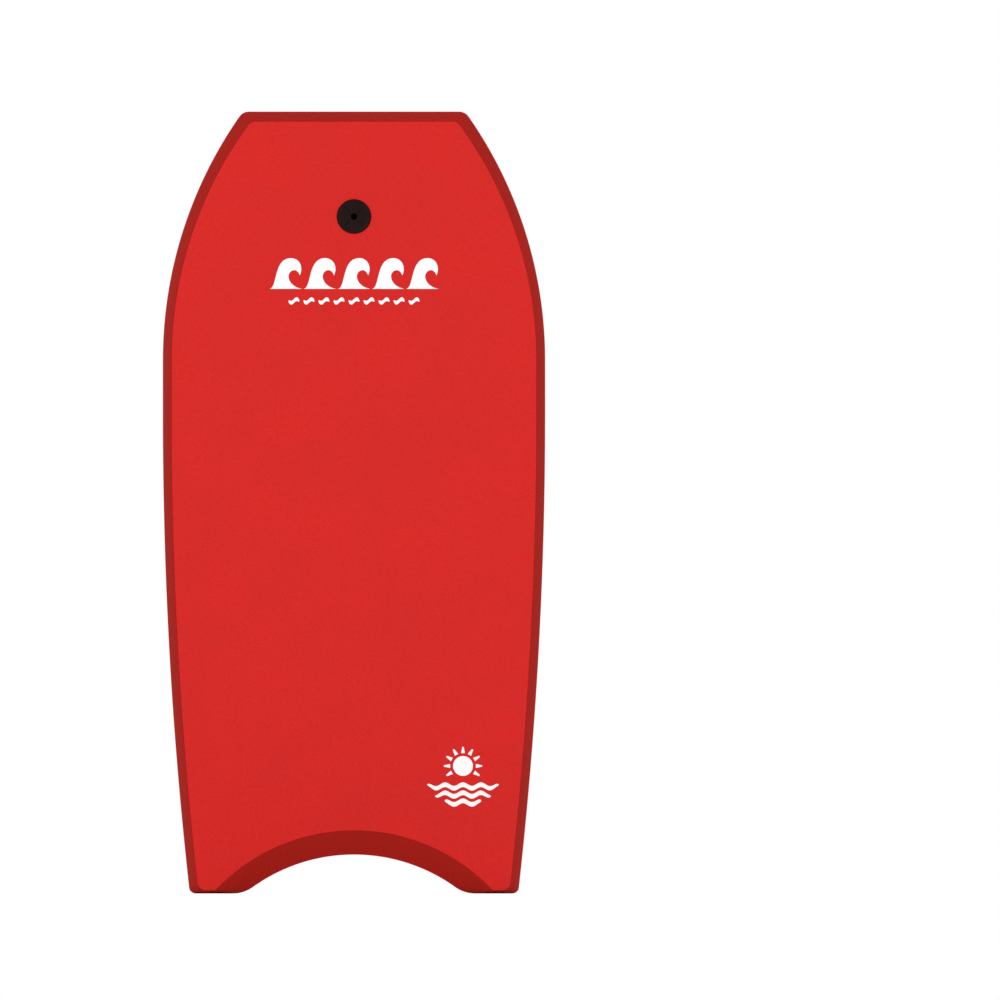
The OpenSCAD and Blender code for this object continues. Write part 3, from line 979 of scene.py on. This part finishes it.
def flange_profile(hole=True):
    """The flange's outline, from its sunk face over the rim and the dish to the hole or axis."""
    top = SUNK + PROUD
    dish = DISH_EDGE + (DISH_WITH_HOLE if hole else DISH_CLOSED)
    lip_centre = (CORD_R + CORD_LIP_R, top - HOLE_DEPTH - CORD_LIP_R)
    return (
        [(FLANGE_R, 0)]
        + quarter((FLANGE_R - RIM_R, top - RIM_R), RIM_R, 0, 90, 8)
        + [(r, top - d) for r, d in dish]
        + (quarter(lip_centre, CORD_LIP_R, 90, 180, 8) if hole else [])
    )


collar_base = THICK - SUNK - COLLAR
socket_top = collar_base - COLLAR_GAP
deck_profile = [(r, THICK - SUNK + z) for r, z in flange_profile()] + [
    (CORD_R, SHAFT_FOOT), (SHAFT_R - SHAFT_BEVEL, SHAFT_FOOT),
    (SHAFT_R, SHAFT_FOOT + SHAFT_BEVEL), (SHAFT_R, collar_base),
    (SOCKET_R, collar_base), (SOCKET_R, THICK - SUNK)]
slick_profile = [(r, SUNK - z) for r, z in flange_profile(hole=False)] + [
    (AXIS_R, SOCKET_FLOOR), (SHAFT_R + PLUG_GAP, SOCKET_FLOOR),
    (SHAFT_R + PLUG_GAP, socket_top), (SOCKET_R, socket_top), (SOCKET_R, SUNK)]
deck_top = THICK + PROUD
finish_piece(
    "plug_deck_moulding",
    cut(lathe(deck_profile), slot_cutters(deck_top - SLOT_DEPTH, deck_top + CUT_PAST)),
    [plug_plastic], ["plug_deck_half"], 32)
loop_holes = bmesh.new()
for x in (-LOOP_HOLE_OFFSET, LOOP_HOLE_OFFSET):
    outline = quarter((x, 0), LOOP_HOLE_R, 0, 350, 35)
    prism(loop_holes, outline, -CUTTER_BELOW, SOCKET_FLOOR + CUT_PAST)
finish_piece(
    "plug_slick_moulding",
    cut(lathe(slick_profile), slot_cutters(-PROUD - CUT_PAST, SLOT_DEPTH - PROUD), loop_holes),
    [plug_plastic], ["plug_slick_half"], 32)


# ---------------------------------------------------------------- prints
# How far the ink stands proud of the skins, and how far it reaches into them
INK_PROUD = 0.08
INK_SUNK = 0.1
# The face that a print is on, as a sign that also turns it the right way round
DECK = 1
SLICK = -1


def bezier(a, b, c, d, steps=14):
    t = np.linspace(0, 1, steps + 1)[:, None]
    a, b, c, d = map(np.array, (a, b, c, d))
    return list((1 - t) ** 3 * a + 3 * t * (1 - t) ** 2 * b + 3 * t ** 2 * (1 - t) * c + t ** 3 * d)


def breaker(left, size):
    """A curling wave with a hollow face, size high."""
    shape = (
        bezier((0, 0), (0.27, 0.0), (0.12, 1.0), (0.7, 1.0))
        + bezier((0.7, 1.0), (0.97, 1.0), (1.12, 0.72), (0.99, 0.44))[1:]
        + bezier((0.99, 0.44), (0.94, 0.6), (0.8, 0.66), (0.69, 0.56))[1:]
        + bezier((0.69, 0.56), (0.53, 0.42), (0.66, 0.06), (1.06, 0.0))[1:]
    )
    return [(left + p[0] * size, p[1] * size) for p in shape]


def ripple(half, centre, thick, swing, wave, phase=0.0, steps=72):
    """A wavy band that thins to rounded points at its ends."""
    a = np.linspace(-half, half, steps + 1)
    mid = centre + swing * np.cos(2 * math.pi * a / wave - phase)
    half_thick = thick / 2 * np.sqrt(np.maximum(1 - (np.abs(a) / half) ** 6, 0.0025))
    upper = np.stack([a, mid + half_thick], axis=1)
    lower = np.stack([a, mid - half_thick], axis=1)[::-1]
    return [tuple(p) for p in np.concatenate([upper, lower])]


def disc(centre, r, steps=64):
    a = np.linspace(0, 2 * math.pi, steps, endpoint=False)
    return [(centre[0] + r * math.cos(t), centre[1] + r * math.sin(t)) for t in a]


def ray(centre, start, stop, angle, half_base, half_tip):
    c, s = math.cos(math.radians(angle)), math.sin(math.radians(angle))
    corners = ((start, -half_base), (stop, -half_tip), (stop, half_tip), (start, half_base))
    return [(centre[0] + x * c - y * s, centre[1] + x * s + y * c) for x, y in corners]


def wave_band():
    """A row of five breakers over a row of nine small dashes."""
    size, pitch, left, foot = 42.0, 46.6, -115.5, -10
    dash_pitch, dash_height = 20.5, -26.5
    shapes = [[(a, b + foot) for a, b in breaker(left + pitch * k, size)] for k in range(5)]
    for k in range(-4, 5):
        dash = ripple(
            7.5, dash_height, thick=5.2, swing=2.4, wave=15.0, phase=math.pi / 2, steps=24)
        shapes.append([(a + k * dash_pitch, b) for a, b in dash])
    return shapes


def sun_badge():
    """A sun with nine rays over three bands of water."""
    sun = (0.0, 15.0)
    shapes = [disc(sun, r=13.5)]
    for k in range(-4, 5):
        shapes.append(ray(sun, 17.5, 26, angle=90 + 30 * k, half_base=2.6, half_tip=1.0))
    for half, centre in ((49, -13), (38, -24), (25, -35)):
        shapes.append(ripple(half, centre, thick=6.4, swing=2.4, wave=24.5))
    return shapes


def printed(name, shapes, x, y, facing, material):
    """Ink a hair thick on the face, centred at (x, y)."""
    outside = THICK + INK_PROUD if facing == DECK else -INK_PROUD
    inside = THICK - INK_SUNK if facing == DECK else INK_SUNK
    bm = bmesh.new()
    for shape in shapes:
        top = ring(bm, [(x + a * facing, y + b, outside) for a, b in shape])
        bottom = ring(bm, [(x + a * facing, y + b, inside) for a, b in shape])
        bridge(bm, top, bottom)
        bm.faces.new(top)
        bm.faces.new(bottom[::-1])
    finish_piece(name, bm, [material], smooth=30)


# The places were measured on the photo
printed("deck_wave_print", wave_band(), 0, 835, DECK, white_ink)
printed("deck_sun_print", sun_badge(), 148.7, 159, DECK, white_ink)
printed("slick_wave_print", wave_band(), 0, 830, SLICK, red_ink)
printed("slick_sun_print", sun_badge(), 0, 154, SLICK, red_ink)

# ---------------------------------------------------------------- camera, light and floor
# The camera sees the photo's frame, at the photo's scale, with the board where its deck view is
PX = 1.3645 * MM
PHOTO_WIDTH = 1000
CAMERA_X = 0.1992
CAMERA_Z = 0.5369
CAMERA_BACK = 3
BACKDROP = 1.0
AMBIENT = 0.86
FLOOR_R = 25
camera = bpy.data.objects.new("camera", bpy.data.cameras.new("camera"))
camera.data.type = "ORTHO"
camera.data.ortho_scale = PHOTO_WIDTH * PX
camera.data.clip_end = 50
camera.location = (CAMERA_X, -CAMERA_BACK, CAMERA_Z)
camera.rotation_euler = (math.radians(90), 0, 0)
bpy.context.scene.collection.objects.link(camera)
bpy.context.scene.camera = camera

bpy.context.scene.view_settings.view_transform = "Standard"
bpy.context.scene.view_settings.look = "None"

# The camera sees a white backdrop, and the board is lit by a slightly dimmer one
world = bpy.data.worlds.new("studio")
bpy.context.scene.world = world
world.use_nodes = True
tree = world.node_tree
tree.nodes.clear()
world_out = tree.nodes.new("ShaderNodeOutputWorld")
ambient = tree.nodes.new("ShaderNodeBackground")
ambient.inputs["Strength"].default_value = AMBIENT
backdrop = tree.nodes.new("ShaderNodeBackground")
backdrop.inputs["Strength"].default_value = BACKDROP
for n in (ambient, backdrop):
    n.inputs["Color"].default_value = (1, 1, 1, 1)
rays = tree.nodes.new("ShaderNodeLightPath")
choose = tree.nodes.new("ShaderNodeMixShader")
tree.links.new(rays.outputs["Is Camera Ray"], choose.inputs[0])
tree.links.new(ambient.outputs[0], choose.inputs[1])
tree.links.new(backdrop.outputs[0], choose.inputs[2])
tree.links.new(choose.outputs[0], world_out.inputs[0])

# Area lamps that all point at the board's middle: name, place, size and power
middle = Vector((0, 0, LENGTH / 2 * MM))
for name, spot, size, power in (
    ("key", (-1.6, -2.6, 2.0), 1.6, 24),
    ("fill", (2.2, -2.4, 1.3), 1.6, 16),
    ("back_key", (1.8, 2.6, 2.0), 1.6, 24),
    ("back_fill", (-2.2, 2.4, 1.3), 1.6, 16),
):
    lamp = bpy.data.lights.new(name, "AREA")
    lamp.size = size
    lamp.energy = power
    obj = bpy.data.objects.new(name, lamp)
    obj.location = spot
    obj.rotation_mode = "QUATERNION"
    obj.rotation_quaternion = (middle - Vector(spot)).to_track_quat("-Z", "Y")
    obj.visible_camera = False
    bpy.context.scene.collection.objects.link(obj)

bm = bmesh.new()
bmesh.ops.create_circle(bm, cap_ends=True, segments=96, radius=FLOOR_R)
mesh = bpy.data.meshes.new("floor")
bm.to_mesh(mesh)
bm.free()
floor = bpy.data.objects.new("floor", mesh)
bpy.context.scene.collection.objects.link(floor)
floor_look = Look("floor_paint", 0.8)
clouds = floor_look.noise(400, 3)
floor_look.colour(floor_look.mixed(clouds, (0.88, 0.88, 0.88), (0.9, 0.9, 0.9)))
mesh.materials.append(floor_look.material)
